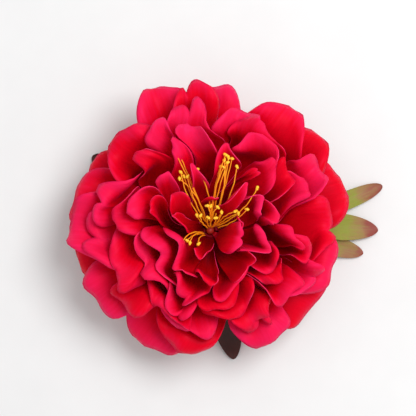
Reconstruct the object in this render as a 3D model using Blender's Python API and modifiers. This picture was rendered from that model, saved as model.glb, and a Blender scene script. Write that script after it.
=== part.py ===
"""Flower hair clip: a silk peony threaded on a calyx peg, glued to a felt disc and a sprung alligator clip.

Metres, +Z up. The clip lies under the flower along Y, with its nose towards -Y and its levers towards +Y.
The tip of the lower lever and the tips of the leaves rest on the plane z = 0.
"""
import bpy
import bmesh
from math import cos, pi, radians, sin
from mathutils import Matrix, Vector

MM = 0.001
GAP = 0.3 * MM

# Where the flower's axis stands, so that the whole part is centred on the origin
FLOWER_X = -6.0 * MM
FLOWER_Y = -4.7 * MM

# Clip, measured along its own length from the flower's axis
STRIP_THICKNESS = 0.8 * MM
HINGE_ALONG = 12.0 * MM
HINGE_HEIGHT = 9.4 * MM
UPPER_HALF_WIDTH = 4.5 * MM
LOWER_HALF_WIDTH = 3.4 * MM
EAR_THICKNESS = 0.7 * MM
UPPER_EAR_RADIUS = 2.6 * MM
LOWER_EAR_RADIUS = 2.4 * MM
PIN_RADIUS = 0.9 * MM
PIN_HOLE_RADIUS = 1.2 * MM
PIN_HEAD_RADIUS = 1.7 * MM
PIN_HEAD_THICKNESS = 0.5 * MM
NOSE = -26.0 * MM
UPPER_TAIL = 32.0 * MM
LOWER_TAIL = 28.0 * MM
FIRST_TOOTH = -21.3 * MM
TOOTH_COUNT = 4
TOOTH_PITCH = 1.7 * MM
TOOTH_LENGTH = 1.5 * MM
TAIL_CORNER = 1.2 * MM
UPPER_EAR_ROOT = 12.5 * MM
UPPER_EAR_REACH = 3.6 * MM
LOWER_EAR_ROOT = 6.2 * MM
LOWER_EAR_REACH = 3.4 * MM
PIN_HOLE_LENGTH = 20.0 * MM
PLAN_DEPTH = 60.0 * MM
MERGE_DISTANCE = 0.01 * MM

# Underside of the upper strip and top of the lower strip, as (along, height) in millimetres
UPPER_STRIP_MM = ((-26.0, 11.9), (-13.0, 12.2), (7.0, 12.2), (18.0, 12.4), (32.0, 15.4))
LOWER_STRIP_MM = (
    (-26.0, 11.4), (-24.0, 10.9), (-18.0, 9.0), (-8.0, 6.4), (4.0, 6.4), (12.0, 6.6), (28.0, 0.8),
)

# Spring
SPRING_RADIUS = 2.0 * MM
SPRING_WIRE_RADIUS = 0.4 * MM
SPRING_HALF_LENGTH = 1.85 * MM
SPRING_TURNS = 3.5
SPRING_STEPS_PER_TURN = 12
SPRING_LEG_ALONG = 21.0 * MM
UPPER_LEG_HEIGHT = 12.2 * MM
LOWER_LEG_HEIGHT = 4.2 * MM

# Stack above the clip, bottom to top
CLIP_TOP = 13.0 * MM
CLIP_GLUE_THICKNESS = 0.5 * MM
CLIP_GLUE_LENGTH = 24.0 * MM
CLIP_GLUE_WIDTH = 7.0 * MM
CLIP_GLUE_ALONG = -4.0 * MM
FELT_RADIUS = 18.0 * MM
FELT_THICKNESS = 1.2 * MM
FLOWER_GLUE_RADIUS = 5.2 * MM
FLOWER_GLUE_THICKNESS = 0.5 * MM
FELT_BOTTOM = CLIP_TOP + GAP + CLIP_GLUE_THICKNESS + GAP
FELT_TOP = FELT_BOTTOM + FELT_THICKNESS
CALYX_BOTTOM = FELT_TOP + GAP + FLOWER_GLUE_THICKNESS + GAP

# Calyx
CALYX_BASE_RADIUS = 5.5 * MM
CALYX_RIM_RADIUS = 11.0 * MM
CALYX_DEPTH = 4.6 * MM
CALYX_WALL = 0.9 * MM
CALYX_FLOOR = 1.6 * MM
PEG_RADIUS = 1.1 * MM
HUB_HOLE_RADIUS = 1.5 * MM
HUB_FLAT_RADIUS = 3.6 * MM

# Petal layers
PETAL_THICKNESS = 0.5 * MM
LAYER_STEP = 0.9 * MM
SPACER_HEIGHT = 1.7 * MM
SPACER_RADIUS = 3.0 * MM
COLUMNS_PER_PETAL = 6
ROWS = 5

# For each layer: the radius and height that its bowl rises to, how late it rises, and its petals as
# (direction in degrees, reach in millimetres from the flower's axis). Petals towards +Y are longer.
PETAL_LAYERS = (
    (62.0 * MM, 18.0 * MM, 1.6, ((19, 63), (90, 64.8), (144, 60), (198, 59), (252, 55), (322, 55))),
    (62.0 * MM, 25.0 * MM, 1.5, ((42, 63), (111, 66), (164, 61), (214, 58), (300, 55), (343, 56))),
    (62.0 * MM, 32.0 * MM, 1.4, ((2, 54), (57, 62), (98, 65), (176, 61), (238, 56), (289, 48))),
    (56.0 * MM, 39.0 * MM, 1.3, (
        (31, 54), (73, 52), (100, 55), (137, 56), (183, 54), (225, 49), (259, 44), (299, 45), (335, 50),
    )),
    (50.0 * MM, 43.5 * MM, 1.3, (
        (25, 45), (61, 49), (120, 49), (161, 50), (203, 45), (243, 41), (286, 40), (320, 44), (355, 41),
    )),
    (45.0 * MM, 46.5 * MM, 1.3, (
        (33, 39), (64, 42), (95, 45), (139, 44), (172, 38), (214, 36), (256, 37), (288, 34), (322, 36),
        (355, 38),
    )),
    (38.0 * MM, 49.5 * MM, 1.3, (
        (12, 33), (42, 35), (84, 37), (122, 37), (160, 33), (207, 30), (254, 30), (290, 29), (330, 31),
    )),
    (30.0 * MM, 52.0 * MM, 1.3, (
        (20, 25), (60, 27), (104, 29), (138, 29), (172, 23), (216, 22), (262, 23), (298, 23), (338, 24),
    )),
    (20.0 * MM, 50.0 * MM, 1.25, ((6, 15), (54, 19), (90, 16), (136, 19), (172, 12), (262, 10), (308, 14))),
)
LAYERS_UNDER_A_SPACER = (3, 6)
STAMEN_RING_HEIGHT = 1.2 * MM
SLIT_SHARE = 0.45

# Leaves: name, direction of the middle lobe (degrees), reach of its lobes from the flower's axis
LEAF_THICKNESS = 0.6 * MM
LEAF_ROOT = 9.0 * MM
LEAVES = (
    ("leaf_right", 2.0, (66.0 * MM, 72.5 * MM, 74.5 * MM)),
    ("leaf_bottom", -80.0, (47.0 * MM, 56.0 * MM, 47.0 * MM)),
    ("leaf_upper_left", 147.0, (52.0 * MM, 61.0 * MM, 52.0 * MM)),
)
LOBE_SPREAD = 13.0
LEAF_SLIT = 24.0 * MM
LEAF_INNER = 1.0 * MM
LEAF_FLAT = 8.0 * MM
LEAF_BEND_START = 10.0 * MM
LEAF_TIP_REST = 2.0 * MM

# Stamens
STAMEN_COUNT = 12
TUFT_COUNT = 6
FILAMENT_RADIUS = 0.4 * MM
ANTHER_RADIUS = 0.8 * MM
STAMEN_RING_RADIUS = 3.2 * MM
TUFT_FOOT_RADIUS = 2.4 * MM
TUFT_TOP_RADIUS = 1.4 * MM
TUFT_HEIGHT = 1.6 * MM
TUFT_TURN = 0.4

# Each filament's way from its base to its anther, as (radius, height) in millimetres
SPRAY_PATH_MM = ((2.6, 0.6), (6.0, 2.2), (11.0, 6.2), (18.0, 13.5))
TUFT_PATH_MM = ((1.0, 0.9), (2.4, 4.0), (3.6, 7.0), (4.8, 9.5))


# ---------------------------------------------------------------- scene and materials

def clear_scene():
    for obj in list(bpy.data.objects):
        bpy.data.objects.remove(obj, do_unlink=True)


def new_collection(name):
    collection = bpy.data.collections.new(name)
    bpy.context.scene.collection.children.link(collection)
    return collection


def material(name, colour, roughness, metallic=0.0):
    mat = bpy.data.materials.new(name)
    mat.use_nodes = True
    shader = mat.node_tree.nodes["Principled BSDF"]
    shader.inputs["Base Color"].default_value = (*colour, 1.0)
    shader.inputs["Roughness"].default_value = roughness
    shader.inputs["Metallic"].default_value = metallic
    return mat


def empty(name, location, parent=None):
    obj = bpy.data.objects.new(name, None)
    obj.location = location
    obj.parent = parent
    parts.objects.link(obj)
    return obj


def place(mesh, name, mat, parent, collection=None):
    """A named object of a mesh, under a parent empty."""
    obj = bpy.data.objects.new(name, mesh)
    (collection or parts).objects.link(obj)
    obj.parent = parent
    if mat is not None:
        mesh.materials.clear()
        mesh.materials.append(mat)
    return obj


def set_origin(obj, origin):
    """Move an object's origin without moving its mesh in its parent's space."""
    obj.data.transform(Matrix.Translation(-Vector(origin)))
    obj.location = origin


def smooth(obj, angle=35.0):
    obj.data.shade_smooth()
    obj.data.set_sharp_from_angle(angle=radians(angle))


# ---------------------------------------------------------------- shapes

def mesh_from_curve(curve, name):
    """The closed mesh of a curve, with its loose caps welded on."""
    holder = bpy.data.objects.new(name, curve)
    parts.objects.link(holder)
    bpy.context.view_layer.update()
    graph = bpy.context.evaluated_depsgraph_get()
    mesh = bpy.data.meshes.new_from_object(holder.evaluated_get(graph))
    bpy.data.objects.remove(holder, do_unlink=True)
    mesh.name = name
    weld(mesh)
    return mesh


def weld(mesh, distance=0.001 * MM):
    shape = bmesh.new()
    shape.from_mesh(mesh)
    bmesh.ops.remove_doubles(shape, verts=shape.verts, dist=distance)
    bmesh.ops.recalc_face_normals(shape, faces=shape.faces)
    shape.to_mesh(mesh)
    shape.free()


def outline_mesh(name, outline, thickness):
    """A flat outline in X and Z, given thickness along Y."""
    curve = bpy.data.curves.new(name, "CURVE")
    curve.dimensions = "2D"
    curve.fill_mode = "BOTH"
    curve.extrude = thickness / 2
    spline = curve.splines.new("POLY")
    spline.points.add(len(outline) - 1)
    for point, (along, height) in zip(spline.points, outline):
        point.co = (along, height, 0.0, 1.0)
    spline.use_cyclic_u = True
    mesh = mesh_from_curve(curve, name)
    for vertex in mesh.vertices:
        x, y, z = vertex.co
        vertex.co = (x, -z, y)
    return mesh


def wire_mesh(name, points, radii, resolution=2):
    """A round wire along points, as thick at each point as its radius says."""
    curve = bpy.data.curves.new(name, "CURVE")
    curve.dimensions = "3D"
    curve.bevel_depth = 1.0 * MM
    curve.bevel_resolution = resolution
    curve.use_fill_caps = True
    spline = curve.splines.new("POLY")
    spline.points.add(len(points) - 1)
    for point, place_at, radius in zip(spline.points, points, radii):
        point.co = (*place_at, 1.0)
        point.radius = radius / MM
    return mesh_from_curve(curve, name)


def turned(name, profile, mat, parent, location, steps=24, rotation=(0.0, 0.0, 0.0)):
    """A turned piece: (radius, height) points from the top to the bottom of its outer side."""
    shape = bmesh.new()
    row = [shape.verts.new((radius, 0.0, height)) for radius, height in profile]
    for a, b in zip(row, row[1:]):
        shape.edges.new((a, b))
    mesh = bpy.data.meshes.new(name)
    shape.to_mesh(mesh)
    shape.free()
    obj = place(mesh, name, mat, parent)
    obj.location = location
    obj.rotation_euler = rotation
    screw = obj.modifiers.new("turn", "SCREW")
    screw.steps = steps
    screw.render_steps = steps
    screw.use_merge_vertices = True
    screw.merge_threshold = MERGE_DISTANCE
    screw.use_smooth_shade = True
    return obj


def box_mesh(name, centre, size):
    shape = bmesh.new()
    bmesh.ops.create_cube(shape, size=1.0)
    for vertex in shape.verts:
        vertex.co = Vector(vertex.co[i] * size[i] + centre[i] for i in range(3))
    mesh = bpy.data.meshes.new(name)
    shape.to_mesh(mesh)
    shape.free()
    return mesh


def cylinder_mesh(name, centre, radius, length, segments=24):
    """A cylinder along Y."""
    shape = bmesh.new()
    bmesh.ops.create_cone(
        shape, cap_ends=True, segments=segments, radius1=radius, radius2=radius, depth=length,
    )
    for vertex in shape.verts:
        x, y, z = vertex.co
        vertex.co = Vector((x, -z, y)) + Vector(centre)
    mesh = bpy.data.meshes.new(name)
    shape.to_mesh(mesh)
    shape.free()
    return mesh


def combine(obj, mesh, operation):
    """Boolean obj with a mesh made in the coordinates of their parent."""
    tool = place(mesh, f"{obj.name}_{operation.lower()}_{len(obj.modifiers)}", None, obj.parent, cutters)
    tool.hide_render = True
    tool.display_type = "WIRE"
    boolean = obj.modifiers.new(operation.lower(), "BOOLEAN")
    boolean.operation = operation
    boolean.solver = "EXACT"
    boolean.object = tool


# ---------------------------------------------------------------- clip

def strip_outline(line_mm, thickness):
    """The closed side outline of a bent strip: its line, and the same line moved by its thickness."""
    line = [(along * MM, height * MM) for along, height in line_mm]
    moved = [(along, height + thickness) for along, height in reversed(line)]
    return line + moved


def strip_plan(nose, tail, half_width):
    """The outline of a strip seen from above, with a round nose and cut tail corners."""
    points = []
    for step in range(9):
        angle = pi / 2 + pi * step / 8
        points.append((nose + half_width * (1 + cos(angle)), half_width * sin(angle)))
    points.append((tail - TAIL_CORNER, -half_width))
    points.append((tail, -half_width + TAIL_CORNER))
    points.append((tail, half_width - TAIL_CORNER))
    points.append((tail - TAIL_CORNER, half_width))
    return points


def plan_mesh(name, plan):
    """A tall block with a plan outline in X and Y."""
    mesh = outline_mesh(name, plan, PLAN_DEPTH)
    for vertex in mesh.vertices:
        x, y, z = vertex.co
        vertex.co = (x, z, y)
    mesh.flip_normals()
    return mesh


def ear_outline(radius, strip_height, reach):
    """A round ear about the hinge, widening to the strip that carries it."""
    points = []
    away = -1.0 if strip_height > HINGE_HEIGHT else 1.0
    for step in range(9):
        angle = pi * step / 8
        points.append((HINGE_ALONG + radius * cos(angle), HINGE_HEIGHT + away * radius * sin(angle)))
    points.append((HINGE_ALONG - reach, strip_height))
    points.append((HINGE_ALONG + reach, strip_height))
    return points


def height_on(line_mm, along):
    """The height of a bent line at a distance along it."""
    for (a, low), (b, high) in zip(line_mm, line_mm[1:]):
        if a * MM <= along <= b * MM:
            return MM * (low + (high - low) * (along / MM - a) / (b - a))
    raise ValueError("off the end of the line")


def tooth_outline(line_mm, way):
    """A saw edge of pointed teeth that stands out of a bent line, up for way 1 and down for way -1."""
    points = []
    for half in range(2 * TOOTH_COUNT + 1):
        along = FIRST_TOOTH + half * TOOTH_PITCH / 2
        out = TOOTH_LENGTH if half % 2 else 0.25 * TOOTH_LENGTH
        points.append((along, height_on(line_mm, along) + way * out))
    last = FIRST_TOOTH + TOOTH_COUNT * TOOTH_PITCH
    bury = STRIP_THICKNESS / 2
    points.append((last, height_on(line_mm, last) - way * bury))
    points.append((FIRST_TOOTH, height_on(line_mm, FIRST_TOOTH) - way * bury))
    return points


def shifted(mesh, across):
    for vertex in mesh.vertices:
        vertex.co.y += across
    return mesh


def hinge_hole():
    return cylinder_mesh("hinge_hole", (HINGE_ALONG, 0.0, HINGE_HEIGHT), PIN_HOLE_RADIUS, PIN_HOLE_LENGTH)


def clip_upper_jaw(parent, mat):
    side_view = strip_outline(UPPER_STRIP_MM, STRIP_THICKNESS)
    mesh = outline_mesh("clip_upper_jaw", side_view, 2 * UPPER_HALF_WIDTH)
    jaw = place(mesh, "clip_upper_jaw", mat, parent)
    combine(jaw, plan_mesh("upper_plan", strip_plan(NOSE, UPPER_TAIL, UPPER_HALF_WIDTH)), "INTERSECT")
    for side in (-1, 1):
        middle = side * (UPPER_HALF_WIDTH - EAR_THICKNESS / 2)
        around = ear_outline(UPPER_EAR_RADIUS, UPPER_EAR_ROOT, UPPER_EAR_REACH)
        ear = outline_mesh("upper_ear", around, EAR_THICKNESS)
        combine(jaw, shifted(ear, middle), "UNION")
        teeth = outline_mesh("upper_teeth", tooth_outline(UPPER_STRIP_MM, -1), EAR_THICKNESS)
        combine(jaw, shifted(teeth, middle), "UNION")
    combine(jaw, hinge_hole(), "DIFFERENCE")
    smooth(jaw)
    return jaw


def clip_lower_jaw(parent, mat):
    """The jaw that turns: its origin is on the hinge axis."""
    side_view = strip_outline(LOWER_STRIP_MM, -STRIP_THICKNESS)
    mesh = outline_mesh("clip_lower_jaw", side_view, 2 * LOWER_HALF_WIDTH)
    jaw = place(mesh, "clip_lower_jaw", mat, parent)
    set_origin(jaw, (HINGE_ALONG, 0.0, HINGE_HEIGHT))
    combine(jaw, plan_mesh("lower_plan", strip_plan(NOSE, LOWER_TAIL, LOWER_HALF_WIDTH)), "INTERSECT")
    for side in (-1, 1):
        middle = side * (LOWER_HALF_WIDTH - EAR_THICKNESS / 2)
        around = ear_outline(LOWER_EAR_RADIUS, LOWER_EAR_ROOT, LOWER_EAR_REACH)
        ear = outline_mesh("lower_ear", around, EAR_THICKNESS)
        combine(jaw, shifted(ear, middle), "UNION")
        teeth = outline_mesh("lower_teeth", tooth_outline(LOWER_STRIP_MM, 1), EAR_THICKNESS)
        combine(jaw, shifted(teeth, middle), "UNION")
    combine(jaw, hinge_hole(), "DIFFERENCE")
    smooth(jaw)
    return jaw


def hinge_pin(parent, mat):
    head = UPPER_HALF_WIDTH + GAP
    end = head + PIN_HEAD_THICKNESS
    profile = (
        (0.0, end), (PIN_HEAD_RADIUS * 0.8, end), (PIN_HEAD_RADIUS, end - 0.2 * MM),
        (PIN_HEAD_RADIUS, head), (PIN_RADIUS, head), (PIN_RADIUS, -head), (PIN_HEAD_RADIUS, -head),
        (PIN_HEAD_RADIUS, -end + 0.2 * MM), (PIN_HEAD_RADIUS * 0.8, -end), (0.0, -end),
    )
    hinge = (HINGE_ALONG, 0.0, HINGE_HEIGHT)
    return turned("hinge_pin", profile, mat, parent, hinge, 20, (pi / 2, 0.0, 0.0))


def clip_spring(parent, mat):
    """A torsion spring round the pin, whose legs push the two levers apart."""
    points = [(SPRING_LEG_ALONG, -SPRING_HALF_LENGTH, UPPER_LEG_HEIGHT)]
    steps = int(SPRING_TURNS * SPRING_STEPS_PER_TURN)
    for step in range(steps + 1):
        angle = pi / 2 + 2 * pi * SPRING_TURNS * step / steps
        points.append((
            HINGE_ALONG + SPRING_RADIUS * cos(angle),
            SPRING_HALF_LENGTH * (2 * step / steps - 1),
            HINGE_HEIGHT + SPRING_RADIUS * sin(angle),
        ))
    points.append((SPRING_LEG_ALONG, SPRING_HALF_LENGTH, LOWER_LEG_HEIGHT))
    mesh = wire_mesh("clip_spring", points, [SPRING_WIRE_RADIUS] * len(points), 1)
    spring = place(mesh, "clip_spring", mat, parent)
    smooth(spring)
    return spring


# ---------------------------------------------------------------- backing and calyx

def disc(name, radius, bottom, thickness, mat, parent, steps=40, edge=0.15 * MM):
    profile = (
        (0.0, thickness), (radius - edge, thickness), (radius, thickness - edge),
        (radius, edge), (radius - edge, 0.0), (0.0, 0.0),
    )
    return turned(name, profile, mat, parent, (0.0, 0.0, bottom), steps)


def clip_glue_pad(parent, mat):
    """A long pad of set glue between the upper strip and the felt."""
    centre = (CLIP_GLUE_ALONG, 0.0, CLIP_TOP + GAP + CLIP_GLUE_THICKNESS / 2)
    mesh = box_mesh("clip_glue_pad", centre, (CLIP_GLUE_LENGTH, CLIP_GLUE_WIDTH, CLIP_GLUE_THICKNESS))
    pad = place(mesh, "clip_glue_pad", mat, parent)
    bevel = pad.modifiers.new("soft_edge", "BEVEL")
    bevel.width = 0.12 * MM
    bevel.segments = 1
    return pad


def calyx_cup(parent, mat, peg_top):
    depth = CALYX_DEPTH
    floor = CALYX_FLOOR
    top = peg_top - CALYX_BOTTOM
    profile = (
        (0.0, top), (PEG_RADIUS * 0.7, top), (PEG_RADIUS, top - 0.3 * MM), (PEG_RADIUS, floor),
        (0.5 * CALYX_RIM_RADIUS, floor + 0.2 * MM), (CALYX_RIM_RADIUS - CALYX_WALL, depth),
        (CALYX_RIM_RADIUS, depth), (0.92 * CALYX_RIM_RADIUS, 0.62 * depth),
        (0.64 * CALYX_RIM_RADIUS, 0.2 * depth), (CALYX_BASE_RADIUS, 0.0), (0.0, 0.0),
    )
    return turned("calyx_cup", profile, mat, parent, (0.0, 0.0, CALYX_BOTTOM), 30)


def spacer(name, bottom, mat, parent):
    """A short tube on the peg."""
    shape = bmesh.new()
    row = [
        shape.verts.new((radius, 0.0, height))
        for radius, height in (
            (HUB_HOLE_RADIUS, SPACER_HEIGHT), (SPACER_RADIUS, SPACER_HEIGHT),
            (SPACER_RADIUS, 0.0), (HUB_HOLE_RADIUS, 0.0),
        )
    ]
    for a, b in zip(row, row[1:] + row[:1]):
        shape.edges.new((a, b))
    mesh = bpy.data.meshes.new(name)
    shape.to_mesh(mesh)
    shape.free()
    tube = place(mesh, name, mat, parent)
    tube.location = (0.0, 0.0, bottom)
    screw = tube.modifiers.new("turn", "SCREW")
    screw.steps = 20
    screw.render_steps = 20
    screw.use_merge_vertices = True
    screw.merge_threshold = MERGE_DISTANCE
    screw.use_smooth_shade = True
    return tube


# ---------------------------------------------------------------- petals and leaves

def lobed_sheet(
    name, lobes, slit, inner, flat, height, closed, mat, parent, thickness, columns=COLUMNS_PER_PETAL,
):
    """A sheet cut into lobes round its own Z axis.

    lobes are (first angle, last angle, reach); slit is how far out the cuts between them start; the sheet
    begins at the inner radius and is level out to the flat one; height(radius) is its middle surface.
    """
    shape = bmesh.new()
    across = columns * len(lobes)
    bmesh.ops.create_grid(shape, x_segments=across, y_segments=ROWS, size=1.0)
    for vertex in shape.verts:
        column = round((vertex.co.x + 1) / 2 * across)
        row = round((vertex.co.y + 1) / 2 * ROWS)
        lobe = min(column // columns, len(lobes) - 1)
        first, last, reach = lobes[lobe]
        side = sin(pi / 2 * (2 * (column - lobe * columns) / columns - 1))
        angle = (first + last) / 2 + side * (last - first) / 2
        rim = slit + (reach - slit) * max(0.0, 1 - abs(side) ** 2.2) ** (1 / 2.2)
        radius = inner if row == 0 else flat + (rim - flat) * (row - 1) / (ROWS - 1)
        vertex.co = (radius * cos(angle), radius * sin(angle), height(radius))
    if closed:
        bmesh.ops.remove_doubles(shape, verts=shape.verts, dist=0.001 * MM)
    bmesh.ops.recalc_face_normals(shape, faces=shape.faces)
    mesh = bpy.data.meshes.new(name)
    shape.to_mesh(mesh)
    shape.free()
    sheet = place(mesh, name, mat, parent)
    solid = sheet.modifiers.new("thickness", "SOLIDIFY")
    solid.thickness = thickness
    solid.offset = 0.0
    smooth(sheet, 60.0)
    return sheet


def petal_layer(number, hub, parent, mat):
    bowl_radius, bowl_height, curve, petals = PETAL_LAYERS[number - 1]

    def height(radius):
        share = max(0.0, (radius - HUB_FLAT_RADIUS) / (bowl_radius - HUB_FLAT_RADIUS))
        return hub + (bowl_height - hub) * share ** curve

    lobes = []
    for i, (direction, reach) in enumerate(petals):
        before = petals[i - 1][0] - (360 if i == 0 else 0)
        after = petals[(i + 1) % len(petals)][0] + (360 if i == len(petals) - 1 else 0)
        lobes.append((radians((before + direction) / 2), radians((direction + after) / 2), reach * MM))
    mean_reach = sum(reach for _, _, reach in lobes) / len(lobes)
    return lobed_sheet(
        f"petal_layer_{number}", lobes, SLIT_SHARE * mean_reach, HUB_HOLE_RADIUS, HUB_FLAT_RADIUS,
        height, True, mat, parent, PETAL_THICKNESS, COLUMNS_PER_PETAL if number < 9 else 4,
    )


def leaf(name, direction, reaches, parent, mat):
    """A three-lobed leaf whose root lies on the felt and whose tips droop to the resting plane."""
    root = FELT_TOP + GAP + LEAF_THICKNESS / 2
    tip = LEAF_THICKNESS / 2
    longest = max(reaches) - LEAF_ROOT

    def height(radius):
        bend_length = longest - LEAF_BEND_START - LEAF_TIP_REST
        share = min(1.0, max(0.0, (radius - LEAF_BEND_START) / bend_length))
        return root + (tip - root) * share * share * (3 - 2 * share)

    turn = radians(direction)
    holder = empty(f"{name}_root", (LEAF_ROOT * cos(turn), LEAF_ROOT * sin(turn), 0.0), parent)
    holder.rotation_euler = (0.0, 0.0, turn)
    lobes = []
    for number, reach in enumerate(reaches):
        first = radians(LOBE_SPREAD * (number - 1.5))
        lobes.append((first, first + radians(LOBE_SPREAD), reach - LEAF_ROOT))
    return lobed_sheet(
        name, lobes, LEAF_SLIT, LEAF_INNER, LEAF_FLAT, height, False, mat, holder, LEAF_THICKNESS,
    )


# ---------------------------------------------------------------- stamens

def add_stamens(obj, count, turn, path_mm):
    """Union a crown of filaments to obj, each along (radius, height) points and ending in an anther."""
    for number in range(count):
        direction = turn + 2 * pi * number / count
        points = [
            (radius * MM * cos(direction), radius * MM * sin(direction), height * MM + obj.location.z)
            for radius, height in path_mm
        ]
        radii = [FILAMENT_RADIUS] * (len(points) - 1) + [ANTHER_RADIUS]
        combine(obj, wire_mesh(f"{obj.name}_filament", points, radii, 1), "UNION")


def stamen_spray(base, parent, mat):
    """A moulded ring with a crown of filaments, between the two inner petal layers."""
    shape = bmesh.new()
    row = [
        shape.verts.new((radius, 0.0, height))
        for radius, height in (
            (HUB_HOLE_RADIUS, STAMEN_RING_HEIGHT), (STAMEN_RING_RADIUS, STAMEN_RING_HEIGHT),
            (STAMEN_RING_RADIUS, 0.0), (HUB_HOLE_RADIUS, 0.0),
        )
    ]
    for a, b in zip(row, row[1:] + row[:1]):
        shape.edges.new((a, b))
    bmesh.ops.spin(
        shape, geom=shape.verts[:] + shape.edges[:], cent=(0, 0, 0), axis=(0, 0, 1),
        angle=2 * pi, steps=24, use_merge=True, use_duplicate=False,
    )
    bmesh.ops.remove_doubles(shape, verts=shape.verts, dist=0.001 * MM)
    bmesh.ops.recalc_face_normals(shape, faces=shape.faces)
    mesh = bpy.data.meshes.new("stamen_spray")
    shape.to_mesh(mesh)
    shape.free()
    spray = place(mesh, "stamen_spray", mat, parent)
    spray.location = (0.0, 0.0, base)
    add_stamens(spray, STAMEN_COUNT, 0.0, SPRAY_PATH_MM)
    smooth(spray)
    return spray


def stamen_tuft(base, parent, mat):
    """A small dome on top of the peg with short stamens."""
    shape = bmesh.new()
    bmesh.ops.create_cone(
        shape, cap_ends=True, segments=16,
        radius1=TUFT_FOOT_RADIUS, radius2=TUFT_TOP_RADIUS, depth=TUFT_HEIGHT,
    )
    for vertex in shape.verts:
        vertex.co.z += TUFT_HEIGHT / 2
    mesh = bpy.data.meshes.new("stamen_tuft")
    shape.to_mesh(mesh)
    shape.free()
    tuft = place(mesh, "stamen_tuft", mat, parent)
    tuft.location = (0.0, 0.0, base)
    add_stamens(tuft, TUFT_COUNT, TUFT_TURN, TUFT_PATH_MM)
    smooth(tuft)
    return tuft


# ---------------------------------------------------------------- assembly

def build_clip(flower):
    steel = material("clip_steel", (0.62, 0.62, 0.64), 0.28, 1.0)
    spring_steel = material("spring_steel", (0.45, 0.45, 0.48), 0.32, 1.0)
    glue = material("glue", (0.88, 0.86, 0.78), 0.35)
    clip = empty("clip", (0.0, 0.0, 0.0), flower)
    clip.rotation_euler = (0.0, 0.0, pi / 2)
    clip_upper_jaw(clip, steel)
    clip_lower_jaw(clip, steel)
    hinge_pin(clip, steel)
    clip_spring(clip, spring_steel)
    clip_glue_pad(clip, glue)
    return glue


def build_flower(flower, glue):
    felt = material("felt", (0.10, 0.22, 0.07), 0.95)
    calyx_plastic = material("calyx_plastic", (0.16, 0.30, 0.08), 0.45)
    petal_fabric = material("petal_fabric", (0.78, 0.004, 0.055), 0.6)
    leaf_fabric = material("leaf_fabric", (0.22, 0.26, 0.07), 0.6)
    spacer_plastic = material("spacer_plastic", (0.55, 0.03, 0.06), 0.5)
    stamen_plastic = material("stamen_plastic", (0.85, 0.42, 0.03), 0.5)

    disc("felt_backing", FELT_RADIUS, FELT_BOTTOM, FELT_THICKNESS, felt, flower)
    disc("flower_glue_pad", FLOWER_GLUE_RADIUS, FELT_TOP + GAP, FLOWER_GLUE_THICKNESS, glue, flower, 24)
    for name, direction, reaches in LEAVES:
        leaf(name, direction, reaches, flower, leaf_fabric)

    half = PETAL_THICKNESS / 2
    hub = CALYX_BOTTOM + CALYX_DEPTH + GAP + half
    for number in range(1, len(PETAL_LAYERS) + 1):
        petal_layer(number, hub, flower, petal_fabric)
        if number in LAYERS_UNDER_A_SPACER:
            name = "petal_spacer_lower" if number == LAYERS_UNDER_A_SPACER[0] else "petal_spacer_upper"
            spacer(name, hub + half + GAP, spacer_plastic, flower)
            hub += SPACER_HEIGHT + GAP + PETAL_THICKNESS + GAP
        elif number == len(PETAL_LAYERS) - 1:
            stamen_spray(hub + half + GAP, flower, stamen_plastic)
            hub += STAMEN_RING_HEIGHT + GAP + PETAL_THICKNESS + GAP
        else:
            hub += LAYER_STEP
    peg_top = hub + 0.1 * MM
    calyx_cup(flower, calyx_plastic, peg_top)
    stamen_tuft(hub + half + GAP, flower, stamen_plastic)


clear_scene()
parts = new_collection("flower_hair_clip")
cutters = new_collection("flower_hair_clip_cutters")
flower_axis = empty("flower_axis", (FLOWER_X, FLOWER_Y, 0.0))
build_flower(flower_axis, build_clip(flower_axis))
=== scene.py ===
"""The looks of the flower hair clip: ruffled satin petals, printed leaves, stamens, felt and plated steel."""

from dataclasses import dataclass
from math import cos, pi, radians, sin

import bmesh
import bpy
import numpy as np
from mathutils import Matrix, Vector
from mathutils.bvhtree import BVHTree


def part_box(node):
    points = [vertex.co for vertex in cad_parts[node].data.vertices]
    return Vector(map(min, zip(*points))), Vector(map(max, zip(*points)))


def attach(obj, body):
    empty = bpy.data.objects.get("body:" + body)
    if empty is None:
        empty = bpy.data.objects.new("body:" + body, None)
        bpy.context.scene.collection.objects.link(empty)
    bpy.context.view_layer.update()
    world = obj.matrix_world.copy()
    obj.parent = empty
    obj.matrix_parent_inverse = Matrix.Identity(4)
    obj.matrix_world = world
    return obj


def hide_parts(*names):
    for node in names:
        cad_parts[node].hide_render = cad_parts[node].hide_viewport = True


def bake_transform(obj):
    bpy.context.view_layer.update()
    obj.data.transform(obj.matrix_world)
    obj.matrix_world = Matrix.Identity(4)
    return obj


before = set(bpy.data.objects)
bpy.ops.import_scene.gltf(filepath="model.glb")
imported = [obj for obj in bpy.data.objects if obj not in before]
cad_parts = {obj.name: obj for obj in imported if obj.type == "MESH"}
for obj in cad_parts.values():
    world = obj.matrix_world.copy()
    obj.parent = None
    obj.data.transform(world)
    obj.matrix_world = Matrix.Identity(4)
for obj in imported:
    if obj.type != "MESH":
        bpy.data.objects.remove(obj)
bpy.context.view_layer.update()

MM = 0.001
GAP = 0.3 * MM
PETAL_THICKNESS = 0.28 * MM
LEAF_THICKNESS = 0.3 * MM


# ---------------------------------------------------------------- places taken from the frame

def low(node):
    return Vector(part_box(node)[0])


def high(node):
    return Vector(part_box(node)[1])


def middle(node):
    return (low(node) + high(node)) / 2


AXIS = middle("felt_backing")
CAD_HALF_SHEET = 0.25 * MM
HUB_STEP = 0.9 * MM
HUB_INNER = 1.5 * MM
HUB_OUTER = 3.6 * MM


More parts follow.
